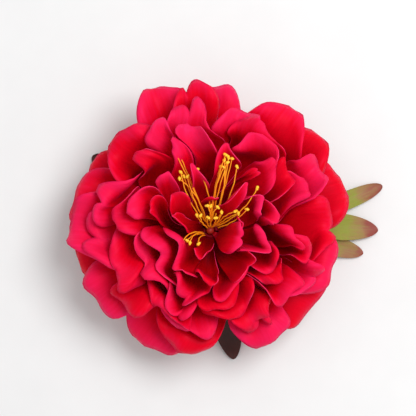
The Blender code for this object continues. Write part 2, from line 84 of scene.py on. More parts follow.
def hub_heights():
    """The height of each petal layer's level hub, from what it is stacked against."""
    under_lower = low("petal_spacer_lower").z - GAP - CAD_HALF_SHEET
    over_lower = high("petal_spacer_lower").z + GAP + CAD_HALF_SHEET
    over_upper = high("petal_spacer_upper").z + GAP + CAD_HALF_SHEET
    under_tuft = low("stamen_tuft").z - GAP - CAD_HALF_SHEET
    return [
        under_lower - 2 * HUB_STEP, under_lower - HUB_STEP, under_lower,
        over_lower, over_lower + HUB_STEP, over_lower + 2 * HUB_STEP,
        over_upper, over_upper + HUB_STEP, under_tuft,
    ]


# ---------------------------------------------------------------- petals

@dataclass
class Petal:
    """One petal. Its turn is in degrees; its reach, rim height and half width are in millimetres.

    Each split is the place of a notch, from -1 to 1 across. rise steepens its foot beyond its layer's, and
    cup is how far it bends round from its middle to its side, both in radians. ruffle is how high its waves
    stand, as a share of its half width.
    """
    turn: float
    reach: float
    height: float
    width: float
    splits: tuple = ()
    rise: float = 0.0
    cup: float = 0.8
    ruffle: float = 0.16

    @property
    def phase(self):
        """Where its waves start, so that no two petals are creased alike."""
        return (0.83 * self.turn + 1.7 * self.reach) % (2 * pi)


@dataclass
class Layer:
    """One die-cut layer: how its petals leave the hub, flare outwards and lean sideways, in radians.

    shoulder is how far the petals' sides reach, as a share of their length.
    """
    foot: float
    flare: float
    lean: float
    shoulder: float
    petals: tuple


LAYERS = (
    Layer(0, 0.5, 0, 0.62, (
        Petal(19, 63, 22, 18),
        Petal(90, 65, 24, 16),
        Petal(144, 60, 23, 19, (-0.3,)),
        Petal(194, 59, 21, 19),
        Petal(240, 57, 21, 18),
        Petal(326, 56, 21, 20),
    )),
    Layer(0, 0.7, 0.05, 0.64, (
        Petal(42, 63, 31, 18),
        Petal(111, 67, 33, 15),
        Petal(164, 61, 28, 18),
        Petal(210, 58, 28, 17),
        Petal(299, 54, 28, 17),
        Petal(343, 56, 30, 17),
    )),
    Layer(0, 0.8, 0.1, 0.64, (
        Petal(2, 54, 35, 16, (-0.2,)),
        Petal(57, 64, 37, 15),
        Petal(98, 65, 39, 12, (0.3,)),
        Petal(176, 61, 33, 17),
        Petal(257, 53, 31, 15),
        Petal(297, 48, 34, 12, (0.2,)),
    )),
    Layer(-0.16, 0.9, 0.15, 0.7, (
        Petal(31, 54, 41, 12, cup=1.1, ruffle=0.24),
        Petal(73, 52, 43, 12, ruffle=0.22),
        Petal(100, 56, 44, 11, (0.0,)),
        Petal(137, 57, 40, 15, ruffle=0.2),
        Petal(183, 54, 37, 15, (-0.1,), ruffle=0.2),
        Petal(225, 49, 37, 14, ruffle=0.24),
        Petal(259, 44, 38, 12, (0.1,)),
        Petal(299, 46, 38, 13, ruffle=0.22),
        Petal(335, 50, 39, 12, (0.1,), cup=1.0, ruffle=0.24),
    )),
    Layer(-0.12, 0.9, 0.15, 0.72, (
        Petal(25, 45, 44, 9, cup=1.3, ruffle=0.26),
        Petal(61, 49, 45, 13, ruffle=0.24),
        Petal(120, 49, 45, 9, ruffle=0.2),
        Petal(161, 51, 42, 12, (0.2,)),
        Petal(203, 45, 41, 17, cup=0.7, ruffle=0.26),
        Petal(243, 41, 41, 12, ruffle=0.24),
        Petal(286, 40, 42, 12, ruffle=0.24),
        Petal(320, 44, 42, 10, cup=1.2, ruffle=0.26),
        Petal(355, 41, 43, 9, cup=1.2, ruffle=0.26),
    )),
    Layer(-0.08, 0.85, 0.2, 0.72, (
        Petal(33, 39, 47, 9, cup=1.1, ruffle=0.28),
        Petal(64, 42, 48, 10, ruffle=0.24),
        Petal(95, 45, 49, 10, cup=1.7, ruffle=0.14),
        Petal(139, 44, 47, 8.5, cup=1.5, ruffle=0.2),
        Petal(172, 38, 45, 11, ruffle=0.24),
        Petal(214, 36, 44, 15, cup=0.7, ruffle=0.28),
        Petal(256, 37, 43, 10, (0.15,), ruffle=0.2),
        Petal(288, 34, 44, 9.5, ruffle=0.24),
        Petal(322, 36, 45, 8.5, cup=1.2, ruffle=0.28),
        Petal(355, 38, 46, 7.5, cup=1.3, ruffle=0.28),
    )),
    Layer(0.05, 0.75, 0.3, 0.7, (
        Petal(12, 33, 49, 7, cup=1.4, ruffle=0.28),
        Petal(42, 35, 49, 9, cup=1.0, ruffle=0.24),
        Petal(84, 36, 49, 6, cup=1.4, ruffle=0.26),
        Petal(122, 37, 49, 6, cup=1.4, ruffle=0.28),
        Petal(160, 33, 48, 7.5, cup=1.3, ruffle=0.28),
        Petal(207, 30, 46, 14, cup=0.7, ruffle=0.3),
        Petal(254, 30, 47, 9.5, (0.1,), ruffle=0.26),
        Petal(290, 29, 47, 8.5, cup=1.1, ruffle=0.24),
        Petal(330, 31, 48, 8, cup=1.2, ruffle=0.3),
    )),
    Layer(0.1, 0.55, 0.4, 0.68, (
        Petal(20, 25, 50, 7.5, cup=1.2, ruffle=0.26),
        Petal(60, 27, 51, 6.5, cup=1.3, ruffle=0.24),
        Petal(104, 26, 50, 4.5, cup=1.5, ruffle=0.24),
        Petal(138, 29, 50, 5.5, cup=1.4, ruffle=0.28),
        Petal(172, 23, 49, 6, cup=1.3, ruffle=0.28),
        Petal(216, 22, 49, 11, rise=0.2, cup=0.8, ruffle=0.3),
        Petal(262, 22, 49, 5.5, rise=0.3, cup=1.2, ruffle=0.36),
        Petal(298, 23, 50, 6.5, (0.0,), rise=0.4, cup=1.0, ruffle=0.26),
        Petal(338, 24, 49, 8, cup=1.2, ruffle=0.26),
    )),
    Layer(0.15, 0.3, 0.6, 0.64, (
        Petal(6, 15, 47, 5, cup=1.3, ruffle=0.3),
        Petal(54, 21, 50, 5, rise=0.4, cup=1.3, ruffle=0.26),
        Petal(90, 16, 46, 3.5, cup=1.4, ruffle=0.3),
        Petal(138, 20, 50, 5, rise=0.5, cup=1.2, ruffle=0.26),
        Petal(170, 13, 48, 4.5, rise=0.6, cup=1.2, ruffle=0.3),
        Petal(252, 12, 48, 4, rise=0.7, cup=1.2, ruffle=0.3),
        Petal(330.3, 15.2, 49, 8, (0.0,), rise=0.9, cup=0.4, ruffle=0.16),
    )),
)
# Shares of a petal's length
NOTCH_DEPTH = 0.1
RIM_WOBBLE = 0.025
WIDEST_AT = 0.9
# Shares of a petal's half width
NOTCH_PINCH = 0.1
ROLL = 0.14
ROLL_WIDTH = 0.36
LONG_CREASE = 0.02
# Half waves from a petal's middle to its side, and the steps of its grid across and along
WAVES = 1.3
COLUMNS = 24
ROWS = 20


def smoothstep(value):
    value = np.clip(value, 0.0, 1.0)
    return value * value * (3 - 2 * value)


def centre_line(layer, petal, start_radius, start_height, samples=60):
    """The petal's middle line in the plane through the flower's axis: level, then steep, then flared.

    How steep it has to be to end at the petal's reach and height is found by halving a range.
    """
    share = np.linspace(0, 1, samples + 1)
    lift = smoothstep((share - 0.22) / 0.5)
    drop = layer.flare * smoothstep((share - 0.78) / 0.22)
    want = np.array([petal.reach * MM - start_radius, petal.height * MM - start_height])
    least, most = -1.0, 3.2
    halvings = 30
    for _ in range(halvings):
        rise = (least + most) / 2
        slope = layer.foot + petal.rise + rise * lift - drop
        between = (slope[1:] + slope[:-1]) / 2
        out = np.concatenate(([0.0], np.cumsum(np.cos(between)))) / samples
        up = np.concatenate(([0.0], np.cumsum(np.sin(between)))) / samples
        if up[-1] * want[0] < out[-1] * want[1]:
            least = rise
        else:
            most = rise
    length = np.hypot(*want) / np.hypot(out[-1], up[-1])
    return share, start_radius + length * out, start_height + length * up, slope, length


def lobe_columns(splits, columns):
    """Places across a petal, and how near each is to a notch between two lobes, from 0 to 1."""
    ends = (-1.0, *splits, 1.0)
    places, nearness = [], []
    for i, (left, right) in enumerate(zip(ends, ends[1:])):
        count = max(6, round(columns * (right - left) / 2))
        local = np.sin(np.linspace(-pi / 2, pi / 2, count + 1))
        notched = np.where(local < 0, i > 0, i < len(splits))
        skip = 1 if i else 0
        places.append(((left + right) / 2 + (right - left) / 2 * local)[skip:])
        nearness.append((np.abs(local) ** 3 * notched)[skip:])
    return np.concatenate(places), np.concatenate(nearness)


def rim_outline(layer, petal, x, notch):
    """How far the petal runs at each place across it: round, notched and a little uneven."""
    rim = layer.shoulder + (1 - layer.shoulder) * np.clip(1 - np.abs(x) ** 2.4, 0, 1) ** (1 / 2.2)
    rim = rim * (1 - NOTCH_DEPTH * notch)
    return rim * (1 + RIM_WOBBLE * np.sin(5.3 * x + 4 * petal.phase))


def folded(inward, petal, x, t, s, notch, edge):
    """Add the rim's waves, the notches' pinch, the rolled edge and a long crease to the petal's cup."""
    full = petal.width * MM
    wave = np.sin(WAVES * pi * x + petal.phase) + 0.25 * np.sin(2.3 * WAVES * pi * x + 2 * petal.phase)
    inward = inward + petal.ruffle * full * wave * t ** 2.5 * (0.6 + 0.3 * np.abs(x))
    inward = inward + NOTCH_PINCH * full * notch * t ** 2.5
    inward = inward - ROLL * full * edge ** 2
    return inward + LONG_CREASE * full * np.sin(5 * x + petal.phase) * smoothstep(s / 0.4)


def petal_grid(layer, petal, hub, half_sector):
    """Points of one petal, and for each the way inwards, its nearness to the rim and its place when flat.

    x runs across the petal from -1 to 1, t from its foot to its rim, and s is the share of its length.
    """
    across, notch = lobe_columns(petal.splits, COLUMNS)
    along = np.linspace(0, 1, ROWS + 1) ** 0.8
    x, t = np.meshgrid(across, along)
    notch = np.broadcast_to(notch, x.shape)
    rim = rim_outline(layer, petal, x, notch)
    s = t * rim
    share, radius, height, slope, length = centre_line(layer, petal, HUB_OUTER, hub)
    theta = np.interp(s, share, slope)
    r = np.interp(s, share, radius)
    z = np.interp(s, share, height)
    full = petal.width * MM
    base = HUB_OUTER * np.tan(half_sector)
    width = base + (full - base) * np.sin(pi / 2 * np.clip(s / WIDEST_AT, 0, 1)) ** 1.15
    to_edge = np.minimum((1 - t) * rim * length, (1 - np.abs(x)) * width)
    edge = np.clip(1 - to_edge / (ROLL_WIDTH * full), 0, 1) * smoothstep((s - 0.35) / 0.3)

    bend = petal.cup * np.clip(s, 0.02, 1) ** 0.8
    side = width * np.sin(bend * x) / bend
    inward = folded(width * (1 - np.cos(bend * x)) / bend, petal, x, t, s, notch, edge)
    lean = layer.lean * sin(5 * petal.phase + 2) * s
    side, inward = (
        side * np.cos(lean) - inward * np.sin(lean),
        side * np.sin(lean) + inward * np.cos(lean),
    )
    side = side + 0.33 * layer.lean * sin(7 * petal.phase) * length * s ** 2
    r = r - np.sin(theta) * inward
    z = z + np.cos(theta) * inward

    # the foot follows the hub's round edge
    free = smoothstep(t / 0.2)
    r = HUB_OUTER * np.cos(x * half_sector) * (1 - free) + r * free
    side = HUB_OUTER * np.sin(x * half_sector) * (1 - free) + side * free
    z = hub * (1 - free) + z * free

    turn = radians(petal.turn)
    points = np.stack([r * cos(turn) - side * sin(turn), r * sin(turn) + side * cos(turn), z], axis=-1)
    inwards = np.stack([-np.sin(theta) * cos(turn), -np.sin(theta) * sin(turn), np.cos(theta)], axis=-1)
    flat = np.stack([x * width, s * length], axis=-1)
    return points, inwards, np.maximum(t, edge), flat


def spread(values):
    """Each grid value, or the mean of its neighbours where that is more."""
    padded = np.pad(values, 1, mode="edge")
    mean = (
        padded[:-2, 1:-1] + padded[2:, 1:-1] + padded[1:-1, :-2] + padded[1:-1, 2:]
        + padded[:-2, :-2] + padded[2:, 2:] + padded[:-2, 2:] + padded[2:, :-2]
    ) / 8
    return np.maximum(values, mean)


def lift_clear(points, inwards, tree, look):
    """Move a petal softly inwards, off what is already there, with more room at its rim.

    A few rounds do most of it. Some small crossings are left.
    """
    rows = points.shape[0]
    fixed_rows, rounds, softenings = 3, 4, 8
    for _ in range(rounds):
        push = np.zeros(points.shape[:2])
        for row in range(fixed_rows, rows):
            clear = (0.5 + 1.3 * (row / rows) ** 2) * MM
            for column in range(points.shape[1]):
                way = Vector(inwards[row, column])
                start = Vector(points[row, column]) + way * look
                distance = tree.ray_cast(start, -way, look + clear)[3]
                if distance is not None:
                    push[row, column] = look + clear - distance
        if push.max() < 0.02 * MM:
            break
        for _ in range(softenings):
            push = spread(push)
        fade = smoothstep(np.arange(rows) / (fixed_rows + 1))[:, None]
        points = points + inwards * (push * fade)[..., None]
    return points


def gather(points):
    """Push the whole flower softly out of its even rings, the way a bunched silk flower sits."""
    sway, ripple, heave = 3.2, 1.6, 1.0
    place = points - np.array([AXIS.x, AXIS.y, 0.0])
    x, y, z = place[..., 0] / MM, place[..., 1] / MM, place[..., 2] / MM
    radius = np.hypot(x, y)
    free = smoothstep((radius - 3) / 16) * (1 - 0.9 * smoothstep((radius - 38) / 18))
    east = sway * np.sin(0.16 * y + 0.07 * z + 0.6) + ripple * np.sin(0.33 * y - 0.15 * x + 2.0)
    north = sway * np.sin(0.15 * x - 0.08 * z + 2.2) + ripple * np.sin(0.31 * x + 0.17 * y + 0.4)
    up = heave * (1 + np.sin(0.21 * x + 0.4) * np.sin(0.19 * y + 1.3))
    return points + np.stack([east * free, north * free, up * free], axis=-1) * MM


def grid_faces(rows, columns, start):
    return [
        (start + r * (columns + 1) + c, start + r * (columns + 1) + c + 1,
         start + (r + 1) * (columns + 1) + c + 1, start + (r + 1) * (columns + 1) + c)
        for r in range(rows) for c in range(columns)
    ]


def sheet_mesh(name, points, faces, values, thickness, weld=0.004 * MM):
    """A thin sheet with its nearness to the rim, shade and flat place kept for its material."""
    mesh = bpy.data.meshes.new(name)
    mesh.from_pydata([tuple(p) for p in points], [], faces)
    for key in ("rim", "shade"):
        layer = mesh.attributes.new(key, "FLOAT", "POINT")
        layer.data.foreach_set("value", np.asarray(values[key], float).ravel())
    uv = mesh.uv_layers.new(name="flat")
    corners = np.array([loop.vertex_index for loop in mesh.loops])
    uv.data.foreach_set("uv", np.asarray(values["flat"], float)[corners].ravel())
    shape = bmesh.new()
    shape.from_mesh(mesh)
    bmesh.ops.remove_doubles(shape, verts=shape.verts, dist=weld)
    bmesh.ops.recalc_face_normals(shape, faces=shape.faces)
    shape.to_mesh(mesh)
    shape.free()
    mesh.shade_smooth()
    obj = bpy.data.objects.new(name, mesh)
    bpy.context.scene.collection.objects.link(obj)
    solid = obj.modifiers.new("thickness", "SOLIDIFY")
    solid.thickness = thickness
    solid.offset = 0.0
    return obj


def half_sectors(turns):
    """Half of the sector of the hub that each petal grows from, midway to its neighbours, in radians."""
    halves = []
    for i, turn in enumerate(turns):
        before = turns[i - 1] - (360 if i == 0 else 0)
        after = turns[(i + 1) % len(turns)] + (360 if i == len(turns) - 1 else 0)
        left = radians(turn - (before + turn) / 2)
        right = radians((turn + after) / 2 - turn)
        halves.append((left + right) / 2)
    return halves


def hub_ring(petal, half_sector, hub):
    """The level cloth between the hub's hole and one petal's foot."""
    angles = radians(petal.turn) + half_sector * lobe_columns(petal.splits, COLUMNS)[0]
    return np.array([
        [[AXIS.x + radius * cos(a), AXIS.y + radius * sin(a), hub] for a in angles]
        for radius in (HUB_INNER, HUB_OUTER)
    ])


def petal_layer(number, layer, hub, below, mats):
    """One die-cut layer: a hub ring and its petals, each lifted off the petals already placed."""
    points, faces, rims, shades, flats = [], [], [], [], []

    def add(grid, rim, shade, flat):
        start = sum(len(p) for p in points)
        faces.extend(grid_faces(grid.shape[0] - 1, grid.shape[1] - 1, start))
        points.append(grid.reshape(-1, 3))
        rims.append(rim.ravel())
        shades.append(np.full(rim.size, shade))
        flats.append(flat.reshape(-1, 2))

    flat_reach = 0.0
    for petal, half in zip(layer.petals, half_sectors([petal.turn for petal in layer.petals])):
        grid, inwards, rim, flat = petal_grid(layer, petal, hub, half)
        flat_reach = max(flat_reach, HUB_OUTER + flat[..., 1].max())
        shade = 0.5 + 0.3 * sin(3 * petal.phase)
        grid = grid + np.array([AXIS.x, AXIS.y, 0.0])
        if below["faces"]:
            tree = BVHTree.FromPolygons(below["points"], below["faces"])
            grid = lift_clear(grid, inwards, tree, 7 * MM)
        start = len(below["points"])
        below["points"].extend(Vector(p) for p in grid.reshape(-1, 3))
        below["faces"].extend(grid_faces(grid.shape[0] - 1, grid.shape[1] - 1, start))
        ring = hub_ring(petal, half, hub)
        add(ring, np.zeros(ring.shape[:2]), shade, ring[..., :2])
        add(gather(grid), rim, shade, flat)
    obj = sheet_mesh(
        f"petals_{number}", np.concatenate(points), faces,
        {"rim": np.concatenate(rims), "shade": np.concatenate(shades), "flat": np.concatenate(flats)},
        PETAL_THICKNESS,
    )
    for mat in mats:
        obj.data.materials.append(mat)
    obj.modifiers["thickness"].material_offset_rim = 1
    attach(obj, "flower")
    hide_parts(f"petal_layer_{number}")
    return obj


# ---------------------------------------------------------------- leaves

@dataclass
class Lobe:
    """One lobe of a leaf. Its tip, from the flower's axis, and the other lengths are in millimetres.

    The higher blunt is, the rounder the tip.
    """
    tip: tuple
    half_width: float
    lift: float = 0.0
    curl: float = 0.0
    blunt: float = 2.4


@dataclass
class Leaf:
    """Three lobes, how far they are dark brown, partly their print and partly painted shade from the flower
    over them, from 0 to 1, and the root, in millimetres from the axis.
    """
    lobes: tuple
    brown_and_painted_shade: float
    root: tuple


LEAVES = {
    "leaf_right": Leaf((
        Lobe((77.2, 21.0), 4.1, 0.0, 1.4, 3.4),
        Lobe((74.3, 6.0), 6.2, 0.7, -3.2, 2.2),
        Lobe((68.2, -5.6), 4.6, 0.0, -2.0, 2.8),
    ), 0.0, (9.0, 0.3)),
    "leaf_bottom": Leaf((
        Lobe((0.4, -46.0), 4.6),
        Lobe((10.6, -54.4), 6.4, 0.7, 0.0, 1.3),
        Lobe((19.5, -43.0), 4.6),
    ), 1.0, (1.6, -8.9)),
    "leaf_upper_left": Leaf((
        Lobe((-51.5, 21.0), 4.6),
        Lobe((-52.4, 35.6), 6.0, 0.7),
        Lobe((-38.0, 39.0), 4.6),
    ), 1.0, (-7.5, 4.9)),
}
# Millimetres from the leaf's root
LEAF_FOOT = 1.5
LEAF_LEVEL = 12.0
# The share of the leaf's length at which its three lobes part, and the angle that each lobe's stem takes up
SPLIT = 0.5
STEM_ANGLE = radians(9.0)


def leaf_height(reach, length, root):
    """The leaf leaves the felt level, clears the clip's nose and droops to the table."""
    return root + (0.6 * MM - root) * smoothstep((reach - LEAF_LEVEL) / (0.93 * length - LEAF_LEVEL))


def half_blade(lobe, reach, v, grow):
    """Half the width of a lobe: its share of the stem, then a blade that swells and closes to its tip."""
    blade = lobe.half_width * (0.55 + 0.45 * smoothstep(grow / 0.55))
    blade = blade * np.clip(1 - np.clip((grow - 0.35) / 0.65, 0, 1) ** lobe.blunt, 0, 1) ** 0.55
    outer = smoothstep((v - SPLIT) / 0.12)
    return reach * STEM_ANGLE / 2 * (1 - outer) + blade * outer


def leaf(node, mat):
    """A three-lobed printed leaf, creased along each lobe's rib."""
    lobes, (root_x, root_y) = LEAVES[node].lobes, LEAVES[node].root
    root_z = high("felt_backing").z + GAP + LEAF_THICKNESS / 2
    columns, rows = 10, 40
    tips = [np.array(lobe.tip) - np.array([root_x, root_y]) for lobe in lobes]
    angles = [np.arctan2(tip[1], tip[0]) for tip in tips]
    order = np.argsort([(angle - angles[1] + pi) % (2 * pi) for angle in angles])
    points, faces, rims, flats = [], [], [], []
    across = np.sin(np.linspace(-1, 1, columns + 1) * pi / 2)
    along = 1 - (1 - np.linspace(0, 1, rows + 1)) ** 1.7
    x, v = np.meshgrid(across, along)
    for rank, index in enumerate(order):
        lobe, length = lobes[index], np.hypot(*tips[index])
        reach = LEAF_FOOT + v * (length - LEAF_FOOT)
        grow = np.clip((v - SPLIT) / (1 - SPLIT), 0, 1)
        half = half_blade(lobe, reach, v, grow)
        stem = angles[1] + (rank - 1) * STEM_ANGLE
        bearing = stem + (((angles[index] - stem + pi) % (2 * pi)) - pi) * smoothstep((v - 0.25) / 0.75)
        side = x * half + lobe.curl * grow ** 2
        px = root_x + reach * np.cos(bearing) - side * np.sin(bearing)
        py = root_y + reach * np.sin(bearing) + side * np.cos(bearing)
        crease = 0.22 * half * np.abs(x) ** 1.3 * smoothstep((v - SPLIT) / 0.12)
        ripple = 0.35 * np.sin(9 * v + 2.2 * x + rank) * np.abs(x) ** 2 * grow
        lift = lobe.lift * smoothstep((v - SPLIT) / 0.2)
        z = leaf_height(reach, length, root_z) + (crease + ripple + lift) * MM
        z = np.maximum(z, LEAF_THICKNESS)
        start = sum(len(p) for p in points)
        faces.extend(grid_faces(rows, columns, start))
        points.append(np.stack([AXIS.x + px * MM, AXIS.y + py * MM, z], axis=-1).reshape(-1, 3))
        rims.append(v.ravel())
        flats.append(np.stack([x * half * MM, reach * MM], axis=-1).reshape(-1, 2))
    points = np.concatenate(points)
    # how far the leaf is dark brown: partly its print, partly painted shade from the flower over it
    shades = np.full(len(points), LEAVES[node].brown_and_painted_shade)
    obj = sheet_mesh(
        f"visual_{node}", points, faces,
        {"rim": np.concatenate(rims), "shade": shades, "flat": np.concatenate(flats)},
        LEAF_THICKNESS,
    )
    obj.data.materials.append(mat)
    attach(obj, "flower")
    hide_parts(node)
    length = max(np.hypot(*tip) for tip in tips) * MM
    return obj


# ---------------------------------------------------------------- stamens and spring

def tube(path, radii, sides):
    """Rings of a round tube along a path, closed flat at both ends."""
    path = [Vector(p) for p in path]
    points, faces = [], []
    side = None
    for i, (place, radius) in enumerate(zip(path, radii)):
        way = (path[min(i + 1, len(path) - 1)] - path[max(i - 1, 0)]).normalized()
        side = way.orthogonal().normalized() if side is None else (side - way * side.dot(way)).normalized()
        other = way.cross(side)
        for k in range(sides):
            angle = 2 * pi * k / sides
            points.append(place + (side * cos(angle) + other * sin(angle)) * radius)
    for i in range(len(path) - 1):
        for k in range(sides):
            a, b = i * sides + k, i * sides + (k + 1) % sides
            faces.append((a, b, b + sides, a + sides))
    first, last = len(points), len(points) + 1
    points.extend((path[0], path[-1]))
    for k in range(sides):
        faces.append((first, (k + 1) % sides, k))
        top = (len(path) - 1) * sides
        faces.append((last, top + k, top + (k + 1) % sides))
    return points, faces


BASE, FILAMENT, ANTHER = 0.0, 0.5, 1.0


class Tubes:
    """Points and faces gathered from several tubes, with the kind of each for its material."""

    def __init__(self):
        self.points, self.faces, self.kinds = [], [], []

    def add(self, part, kind=BASE):
        points, faces = part
        start = len(self.points)
        self.points.extend(points)
        self.faces.extend(tuple(start + i for i in face) for face in faces)
        self.kinds.extend([kind] * len(points))

    def object(self, name):
        mesh = bpy.data.meshes.new(name)
        mesh.from_pydata([tuple(p) for p in self.points], [], self.faces)
        layer = mesh.attributes.new("kind", "FLOAT", "POINT")
        layer.data.foreach_set("value", self.kinds)
        mesh.shade_smooth()
        obj = bpy.data.objects.new(name, mesh)
        bpy.context.scene.collection.objects.link(obj)
        return obj


def bezier(a, b, c, count):
    return [a * (1 - t) ** 2 + b * 2 * t * (1 - t) + c * t * t for t in np.linspace(0, 1, count)]


FILAMENT_RADIUS = 0.27 * MM
FILAMENT_STEPS = 12
FILAMENT_SIDES = 6
ANTHER_HALF_LENGTH = 1.05 * MM
ANTHER_STEPS = 6
ANTHER_SIDES = 8


def stamen(tubes, root, tip, bow, number, radius=FILAMENT_RADIUS, lean=0.5):
    """A thin crinkled filament that rises, leans out and bows, with a small lumpy anther across its end."""
    way = Vector((tip.x - root.x, tip.y - root.y, 0))
    knee = Vector((root.x, root.y, tip.z - 1.5 * MM)) + way * lean
    knee += way.normalized().cross(Vector((0, 0, 2 * bow)))
    path = bezier(root, knee, tip, FILAMENT_STEPS + 1)
    for i, place in enumerate(path[1:-1], start=1):
        place += Vector((sin(1.9 * i + number), cos(2.3 * i + 2 * number), 0)) * 0.12 * MM
    taper = [radius * (1.25 - 0.45 * i / FILAMENT_STEPS) for i in range(FILAMENT_STEPS + 1)]
    tubes.add(tube(path, taper, FILAMENT_SIDES), FILAMENT)
    angle = 2.4 * number
    across = Vector((cos(angle), sin(angle), 0.35)).normalized()
    along = np.linspace(-1, 1, ANTHER_STEPS + 1)
    swell = [max(0.12, (1 - a * a)) ** 0.5 * (0.68 + 0.12 * sin(5 * a + number)) * MM for a in along]
    tubes.add(tube([tip + across * a * ANTHER_HALF_LENGTH for a in along], swell, ANTHER_SIDES), ANTHER)


# Where each anther is, from the flower's axis and the table, then how far its filament bows sideways, in mm
SPRAY_TIPS_MM = (
    (-14.6, 31.0, 49.0, 0.8), (-12.2, 23.4, 47.5, -2.0), (-12.8, 20.8, 47.0, 2.2), (-9.4, 21.6, 47.5, -1.2),
    (-5.4, 24.6, 48.0, 2.4),
    (6.4, 30.4, 50.5, -1.0), (7.6, 29.4, 50.0, 1.2), (5.9, 28.2, 49.5, 2.2), (7.2, 27.2, 49.5, -0.6),
    (5.9, 25.4, 48.5, -1.6), (11.2, 25.6, 48.5, 2.0),
    (19.6, 16.6, 49.0, 2.6), (10.6, 7.2, 45.5, -1.0), (15.4, 8.0, 46.0, 1.6),
    (-11.8, -6.2, 46.0, 2.2), (-8.4, -6.0, 45.5, 1.9), (-4.8, -6.4, 45.0, 1.4),
)
TUFT_TIPS_MM = (
    (-1.2, 9.4, 47.0, 1.0), (3.2, 8.8, 47.0, -1.2), (4.8, 6.8, 46.0, 0.8), (-4.0, 5.4, 45.5, -1.0),
    (2.4, 4.4, 45.5, 0.6), (-0.8, 4.6, 45.0, -0.6),
)
BASE_WIRE = 0.55 * MM
SPRAY_RADIUS = 2.35 * MM
TUFT_RADIUS = 1.15 * MM


def ring_base(foot, radius):
    """A thin moulded ring."""
    steps = 28
    angles = [2 * pi * k / steps for k in range(steps + 1)]
    path = [foot + Vector((cos(a), sin(a), 0)) * radius for a in angles]
    return tube(path, [BASE_WIRE] * (steps + 1), 8)


def dome_base(foot, radius):
    """A low moulded dome, closed over the flower's axis."""
    height, sunk, skirt = 1.6 * MM, 0.5 * MM, 0.5 * MM
    angles = np.linspace(0, 0.49 * pi, 8)
    path = [foot + Vector((0, 0, height * sin(a) - sunk)) for a in angles]
    return tube(path, [(radius + skirt) * cos(a) for a in angles], 20)


def stamens(name, node, tips, base, radius, mat):
    """A moulded base and its filaments, every third of them with a finer one beside it."""
    tubes = Tubes()
    foot = Vector((AXIS.x, AXIS.y, low(node).z + 0.6 * MM))
    tubes.add(base(foot, radius), BASE)
    for number, (x, y, z, bow) in enumerate(tips):
        tip = Vector((AXIS.x + x * MM, AXIS.y + y * MM, z * MM))
        heading = Vector((x, y, 0)).normalized()
        root = foot + heading * radius
        stamen(tubes, root, tip, bow * MM, number)
        if number % 3 == 0:
            beside = tip + Vector((cos(number), sin(number), -0.9)) * 1.5 * MM
            outer_root = root + heading * 0.1 * MM
            stamen(tubes, outer_root, beside, 0.6 * bow * MM, number + 7, radius=0.26 * MM, lean=0.6)
    obj = tubes.object(name)
    obj.data.materials.append(mat)
    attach(obj, "flower")
    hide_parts(node)
    return obj


def spring(mat):
    """The wound torsion spring, drawn as one smooth wire."""
    pin = middle("hinge_pin")
    box_low, box_high = low("clip_spring"), high("clip_spring")
    wire = 0.4 * MM
    radius = 2.0 * MM
    half_length = 1.85 * MM
    turns = 3.5
    steps = 140
    path = []

    def leg(x, foot, away):
        return [
            Vector((x, box_high.y - wire, foot)),
            Vector((x, (pin.y + box_high.y) / 2, (foot + away) / 2)),
        ]

    for step in range(steps + 1):
        angle = pi / 2 + 2 * pi * turns * step / steps
        path.append(Vector((
            pin.x + half_length * (1 - 2 * step / steps),
            pin.y + radius * cos(angle),
            pin.z + radius * sin(angle),
        )))
    path = leg(pin.x + half_length, box_high.z - wire, path[0].z) + path
    path = path + leg(pin.x - half_length, box_low.z + wire, path[-1].z)[::-1]
    tubes = Tubes()
    tubes.add(tube(path, [wire] * len(path), 10))
    obj = tubes.object("wound_spring")
    obj.data.materials.append(mat)
    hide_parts("clip_spring")
    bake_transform(obj)
    return obj


# ---------------------------------------------------------------- felt

def felt_edge(angle):
    """The share of the disc's radius that the hand-cut edge reaches at an angle."""
    return 1 - 0.006 * (1 + sin(3 * angle + 1) + 0.5 * sin(31 * angle) + 0.5 * sin(47 * angle + 2))


def felt(mat):
    """The felt disc between clip and flower, hand cut, its faces uneven with nap and its edge rounded."""
    radius = (high("felt_backing").x - low("felt_backing").x) / 2
    bottom, top = low("felt_backing").z, high("felt_backing").z
    rings, around = 22, 160
    nap_depth, rounding, sunk = 0.05 * MM, 0.12 * MM, 0.1 * MM
    points, faces = [], []
    for face_z, sign in ((top, 1), (bottom, -1)):
        for ring in range(rings + 1):
            share = ring / rings
            for k in range(around):
                angle = 2 * pi * k / around
                edge = radius * felt_edge(angle)
                nap = nap_depth * (sin(37 * angle + 9 * ring) + sin(23 * angle - 7 * ring))
                inset = rounding * share ** 12
                points.append((
                    AXIS.x + edge * share * cos(angle), AXIS.y + edge * share * sin(angle),
                    face_z - sign * (sunk + inset - 0.5 * nap * share),
                ))
    half = (rings + 1) * around
    for side in (0, 1):
        for ring in range(rings):
            for k in range(around):
                a = side * half + ring * around + k
                b = side * half + ring * around + (k + 1) % around
                quad = (a, b, b + around, a + around)
                faces.append(quad if side else quad[::-1])
    rim = rings * around
    for k in range(around):
        a, b = rim + k, rim + (k + 1) % around
        faces.append((a, b, half + b, half + a))
    mesh = bpy.data.meshes.new("felt_disc")
    mesh.from_pydata(points, [], faces)
    shape = bmesh.new()
    shape.from_mesh(mesh)
    bmesh.ops.remove_doubles(shape, verts=shape.verts, dist=0.002 * MM)
    bmesh.ops.recalc_face_normals(shape, faces=shape.faces)
    shape.to_mesh(mesh)
    shape.free()
    mesh.shade_smooth()
    obj = bpy.data.objects.new("felt_disc", mesh)
    bpy.context.scene.collection.objects.link(obj)
    obj.data.materials.append(mat)
    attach(obj, "flower")
    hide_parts("felt_backing")
    return obj


# ---------------------------------------------------------------- materials

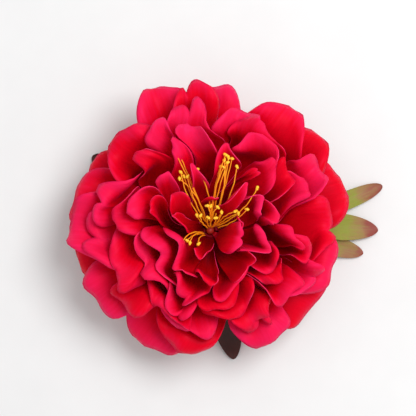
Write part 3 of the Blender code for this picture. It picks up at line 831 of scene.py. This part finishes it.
class Nodes:
    """A short way to write a material's nodes."""

    def __init__(self, name):
        self.mat = bpy.data.materials.new(name)
        self.mat.use_nodes = True
        self.tree = self.mat.node_tree
        self.shader = self.tree.nodes["Principled BSDF"]
        self.out = self.tree.nodes["Material Output"]

    def node(self, kind, **settings):
        node = self.tree.nodes.new(kind)
        for key, value in settings.items():
            setattr(node, key, value)
        return node

    def link(self, source, target):
        self.tree.links.new(source, target)

    def attribute(self, name):
        return self.node("ShaderNodeAttribute", attribute_name=name).outputs["Fac"]

    def place(self, kind="Object"):
        return self.node("ShaderNodeTexCoord").outputs[kind]

    def scaled(self, vector, scale):
        mapping = self.node("ShaderNodeMapping")
        self.link(vector, mapping.inputs["Vector"])
        mapping.inputs["Scale"].default_value = scale
        return mapping.outputs["Vector"]

    def noise(self, vector, scale, detail=3.0, roughness=0.55):
        noise = self.node("ShaderNodeTexNoise")
        self.link(vector, noise.inputs["Vector"])
        noise.inputs["Scale"].default_value = scale
        noise.inputs["Detail"].default_value = detail
        noise.inputs["Roughness"].default_value = roughness
        return noise.outputs["Fac"]

    def ramp(self, factor, stops):
        ramp = self.node("ShaderNodeValToRGB")
        self.link(factor, ramp.inputs["Fac"])
        elements = ramp.color_ramp.elements
        while len(elements) < len(stops):
            elements.new(0.5)
        for element, (at, colour) in zip(elements, stops):
            element.position = at
            element.color = (*colour, 1.0)
        return ramp.outputs["Color"]

    def math(self, operation, a, b):
        node = self.node("ShaderNodeMath", operation=operation)
        for socket, value in zip(node.inputs, (a, b)):
            if isinstance(value, (int, float)):
                socket.default_value = value
            else:
                self.link(value, socket)
        return node.outputs[0]

    def mix(self, factor, a, b, blend="MIX"):
        node = self.node("ShaderNodeMix", data_type="RGBA", blend_type=blend)
        for socket, value in zip((node.inputs[0], node.inputs[6], node.inputs[7]), (factor, a, b)):
            if isinstance(value, (int, float)):
                socket.default_value = value
            elif isinstance(value, tuple):
                socket.default_value = (*value, 1.0)
            else:
                self.link(value, socket)
        return node.outputs[2]

    def bump(self, height, strength, distance):
        bump = self.node("ShaderNodeBump")
        bump.inputs["Strength"].default_value = strength
        bump.inputs["Distance"].default_value = distance
        self.link(height, bump.inputs["Height"])
        return bump.outputs["Normal"]

    def set(self, **values):
        for key, value in values.items():
            self.shader.inputs[key.replace("_", " ")].default_value = value

    def through(self, colour, share, normal=None):
        """Let part of the light through the sheet."""
        clear = self.node("ShaderNodeBsdfTranslucent")
        self.link(colour, clear.inputs["Color"])
        if normal is not None:
            self.link(normal, clear.inputs["Normal"])
        mix = self.node("ShaderNodeMixShader")
        mix.inputs[0].default_value = share
        self.link(self.shader.outputs[0], mix.inputs[1])
        self.link(clear.outputs[0], mix.inputs[2])
        self.link(mix.outputs[0], self.out.inputs["Surface"])


def centred(n, value, amount):
    """A noise or shade from 0 to 1, moved to lie round 0 and scaled."""
    return n.math("MULTIPLY", n.math("SUBTRACT", value, 0.5), amount)


def weave(n, flat):
    """The cloth's fine threads, from its place when flat."""
    return n.noise(n.scaled(flat, (2600.0, 2600.0, 1.0)), 1.0, 1.0)


def petal_satin():
    """Crimson polyester satin with painted shade darkening its foot and a painted pink highlight on its rim,
    with pressed streaks and a fine weave.
    """
    n = Nodes("petal_satin")
    flat = n.place("UV")
    streaks = n.noise(n.scaled(flat, (900.0, 60.0, 1.0)), 1.0, 4.0)
    clouds = n.noise(n.place(), 55.0, 2.0)
    # nearness to the rim: low at the foot for painted shade, high at the rim for a painted pink highlight
    rim = n.math("POWER", n.attribute("rim"), 1.6)
    tone = n.math("ADD", n.math("MULTIPLY", rim, 0.85), centred(n, clouds, 0.35))
    tone = n.math("ADD", tone, centred(n, streaks, 0.22))
    tone = n.math("ADD", tone, centred(n, n.attribute("shade"), 0.4))
    # from painted shade in the crevices at the foot, through the satin's crimson, to a painted pink highlight
    # at the rim
    colour = n.ramp(tone, (
        (0.0, (0.13, 0.0, 0.0003)),
        (0.3, (0.47, 0.0, 0.003)),
        (0.65, (0.81, 0.0, 0.016)),
        (1.0, (1.0, 0.016, 0.125)),
    ))
    n.link(colour, n.shader.inputs["Base Color"])
    height = n.math("ADD", n.math("MULTIPLY", streaks, 0.8), n.math("MULTIPLY", weave(n, flat), 0.12))
    normal = n.bump(height, 0.35, 0.0004)
    n.link(normal, n.shader.inputs["Normal"])
    n.set(Roughness=0.45, Specular_IOR_Level=0.2, Sheen_Weight=0.22, Sheen_Roughness=0.3)
    n.shader.inputs["Specular Tint"].default_value = (1.0, 0.2, 0.45, 1.0)
    n.shader.inputs["Sheen Tint"].default_value = (1.0, 0.03, 0.25, 1.0)
    # the light let through is darker at the foot too, following the same painted shade
    glow = n.ramp(rim, ((0.0, (0.5, 0.0, 0.012)), (1.0, (0.9, 0.004, 0.07))))
    n.through(glow, 0.14, normal)
    return n.mat


def petal_cut_edge():
    """The cut rim of the satin, a paler pink where the dye is thin."""
    n = Nodes("petal_cut_edge")
    pink = n.ramp(n.noise(n.place(), 900.0, 2.0), ((0.3, (0.9, 0.01, 0.10)), (0.7, (1.0, 0.05, 0.2))))
    n.link(pink, n.shader.inputs["Base Color"])
    n.set(Roughness=0.7, Specular_IOR_Level=0.2)
    return n.mat


def leaf_print():
    """Printed polyester leaf: olive green, turning red brown to its tips, with pressed veins; under the
    flower a dark brown that is partly print and partly painted shade.
    """
    n = Nodes("leaf_print")
    flat = n.place("UV")
    along = n.attribute("rim")
    veins = n.noise(n.scaled(flat, (1500.0, 130.0, 1.0)), 1.0, 3.0)
    clouds = n.noise(n.place(), 130.0, 3.0)
    mottle = n.math("ADD", centred(n, veins, 0.14), centred(n, clouds, 0.3))
    tone = n.math("ADD", along, mottle)
    fresh = n.ramp(tone, (
        (0.0, (0.13, 0.17, 0.015)),
        (0.76, (0.25, 0.27, 0.03)),
        (0.875, (0.31, 0.17, 0.06)),
        (0.98, (0.28, 0.06, 0.045)),
    ))
    # dark brown for the leaves under the flower: partly their print, partly painted shade from the petals,
    # with painted light making the tips lighter where they reach out
    brown_and_painted_shade = n.ramp(tone, (
        (0.0, (0.03, 0.022, 0.01)),
        (0.75, (0.040, 0.012, 0.009)),
        (1.0, (0.07, 0.018, 0.014)),
    ))
    n.link(n.mix(n.attribute("shade"), fresh, brown_and_painted_shade), n.shader.inputs["Base Color"])
    normal = n.bump(n.math("ADD", veins, n.math("MULTIPLY", weave(n, flat), 0.15)), 0.4, 0.0004)
    n.link(normal, n.shader.inputs["Normal"])
    n.set(Roughness=0.55, Specular_IOR_Level=0.3, Sheen_Weight=0.15, Sheen_Roughness=0.4)
    return n.mat


def stamen_plastic():
    """Dyed plastic: dark red base, orange filaments, powdery yellow anthers."""
    n = Nodes("stamen_plastic")
    powder = n.noise(n.place(), 2600.0, 2.0)
    shine = n.noise(n.place(), 300.0, 2.0)
    filament = n.ramp(shine, ((0.3, (0.95, 0.22, 0.004)), (0.7, (1.0, 0.42, 0.01))))
    anther = n.ramp(powder, ((0.3, (1.0, 0.45, 0.008)), (0.7, (1.0, 0.72, 0.05))))
    kind = n.math("MULTIPLY", n.attribute("kind"), 2.0)
    grown = n.mix(kind, (0.30, 0.012, 0.006), filament)
    colour = n.mix(n.math("SUBTRACT", kind, 1.0), grown, anther)
    n.link(colour, n.shader.inputs["Base Color"])
    n.link(n.bump(powder, 0.5, 0.0002), n.shader.inputs["Normal"])
    n.set(Roughness=0.5, Specular_IOR_Level=0.35)
    return n.mat


def felt_fibre():
    """Dark green felt: matted fibres in two tones."""
    n = Nodes("felt_fibre")
    fibres = n.noise(n.scaled(n.place(), (1500.0, 1500.0, 600.0)), 1.0, 6.0, 0.7)
    mats = n.noise(n.place(), 320.0, 4.0)
    tone = n.math("ADD", n.math("MULTIPLY", fibres, 0.6), n.math("MULTIPLY", mats, 0.4))
    colour = n.ramp(tone, (
        (0.35, (0.018, 0.055, 0.015)),
        (0.5, (0.04, 0.105, 0.028)),
        (0.68, (0.10, 0.19, 0.065)),
    ))
    n.link(colour, n.shader.inputs["Base Color"])
    n.link(n.bump(tone, 0.9, 0.0008), n.shader.inputs["Normal"])
    n.set(Roughness=0.95, Specular_IOR_Level=0.1, Sheen_Weight=0.5, Sheen_Roughness=0.6)
    return n.mat


def plated_steel(name, tint, roughness):
    """Nickel-plated steel: drawn lines, fine scuffs and cloudy wear in the polish."""
    n = Nodes(name)
    lines = n.noise(n.scaled(n.place(), (3600.0, 160.0, 3600.0)), 1.0, 3.0)
    clouds = n.noise(n.place(), 180.0, 4.0)
    deep = tuple(0.72 * c for c in tint)
    n.link(n.ramp(clouds, ((0.3, deep), (0.62, tint))), n.shader.inputs["Base Color"])
    worn = n.math("ADD", n.math("MULTIPLY", clouds, 0.22), n.math("MULTIPLY", lines, 0.1))
    n.link(n.math("ADD", worn, roughness - 0.12), n.shader.inputs["Roughness"])
    n.link(n.bump(lines, 0.12, 0.00015), n.shader.inputs["Normal"])
    n.set(Metallic=1.0)
    return n.mat


def set_glue():
    """Cold hot-melt glue: milky, amber where thick, with drawn ripples."""
    n = Nodes("set_glue")
    ripples = n.noise(n.place(), 420.0, 3.0)
    colour = n.ramp(ripples, ((0.3, (0.62, 0.55, 0.38)), (0.7, (0.80, 0.76, 0.62))))
    n.link(colour, n.shader.inputs["Base Color"])
    n.link(n.bump(ripples, 0.6, 0.0006), n.shader.inputs["Normal"])
    n.set(Roughness=0.28, Subsurface_Weight=0.35, Subsurface_Scale=0.002)
    return n.mat


def moulded(name, dark, light):
    """Soft moulded plastic with a faint flow mottling."""
    n = Nodes(name)
    flow = n.noise(n.scaled(n.place(), (300.0, 300.0, 90.0)), 1.0, 4.0)
    grain = n.noise(n.place(), 2400.0, 2.0)
    n.link(n.ramp(flow, ((0.3, dark), (0.7, light))), n.shader.inputs["Base Color"])
    height = n.math("ADD", flow, n.math("MULTIPLY", grain, 0.2))
    n.link(n.bump(height, 0.25, 0.0004), n.shader.inputs["Normal"])
    n.set(Roughness=0.42, Specular_IOR_Level=0.4)
    return n.mat


def dress(node, mat):
    """Give a carried-over CAD node its finish."""
    obj = bpy.data.objects[node]
    obj.data.materials.clear()
    obj.data.materials.append(mat)


# ---------------------------------------------------------------- room

def floor_and_light():
    """White paper, a bright even room and one soft lamp behind and to the right."""
    bpy.ops.mesh.primitive_plane_add(size=3.0, location=(0, 0, -0.0002))
    floor = bpy.context.object
    floor.name = "floor"
    n = Nodes("floor_paper")
    grain = n.noise(n.place(), 40.0, 2.0)
    colour = n.ramp(grain, ((0.3, (0.79, 0.79, 0.79)), (0.7, (0.81, 0.81, 0.81))))
    n.link(colour, n.shader.inputs["Base Color"])
    n.set(Roughness=0.9, Specular_IOR_Level=0.1)
    floor.data.materials.append(n.mat)

    world = bpy.data.worlds.new("studio")
    world.use_nodes = True
    background = world.node_tree.nodes["Background"]
    background.inputs["Color"].default_value = (1.0, 1.0, 1.0, 1.0)
    background.inputs["Strength"].default_value = 0.66
    bpy.context.scene.world = world

    key = bpy.data.lights.new("key", "AREA")
    key.shape = "DISK"
    key.size = 0.45
    key.energy = 4.4
    lamp = bpy.data.objects.new("key", key)
    bpy.context.scene.collection.objects.link(lamp)
    lamp.location = (0.30, 0.16, 0.74)
    lamp.rotation_euler = (Vector((0, 0, 0.02)) - lamp.location).to_track_quat("-Z", "Y").to_euler()


def camera():
    """Nearly overhead, from a little in front."""
    elevation = radians(85)
    distance = 0.7
    view_width = 0.179
    target = Vector((AXIS.x - 0.86 * MM, AXIS.y + 10.4 * MM, 25 * MM))
    data = bpy.data.cameras.new("camera")
    data.sensor_width = 36.0
    data.lens = data.sensor_width * distance / view_width
    data.clip_start = 0.01
    obj = bpy.data.objects.new("camera", data)
    bpy.context.scene.collection.objects.link(obj)
    away = Vector((0, -cos(elevation), sin(elevation)))
    obj.location = target + away * distance
    obj.rotation_euler = (-away).to_track_quat("-Z", "Y").to_euler()
    bpy.context.scene.camera = obj
    bpy.context.scene.view_settings.view_transform = "Standard"


# ---------------------------------------------------------------- everything

def main():
    satin = (petal_satin(), petal_cut_edge())
    below = {"points": [], "faces": []}
    for number, (layer, hub) in enumerate(zip(LAYERS, hub_heights()), start=1):
        petal_layer(number, layer, hub, below, satin)
    printed = leaf_print()
    for node in LEAVES:
        leaf(node, printed)
    yellow = stamen_plastic()
    stamens("spray_of_stamens", "stamen_spray", SPRAY_TIPS_MM, ring_base, SPRAY_RADIUS, yellow)
    stamens("tuft_of_stamens", "stamen_tuft", TUFT_TIPS_MM, dome_base, TUFT_RADIUS, yellow)
    felt(felt_fibre())
    spring(plated_steel("spring_wire", (0.50, 0.50, 0.53), 0.3))
    steel = plated_steel("plated_steel", (0.70, 0.70, 0.72), 0.26)
    for node in ("clip_upper_jaw", "clip_lower_jaw", "hinge_pin"):
        dress(node, steel)
    glue = set_glue()
    for node in ("clip_glue_pad", "flower_glue_pad"):
        dress(node, glue)
    dress("calyx_cup", moulded("calyx_green", (0.07, 0.14, 0.03), (0.12, 0.22, 0.05)))
    red = moulded("spacer_red", (0.35, 0.01, 0.03), (0.5, 0.02, 0.05))
    for node in ("petal_spacer_lower", "petal_spacer_upper"):
        dress(node, red)
    floor_and_light()
    camera()


main()
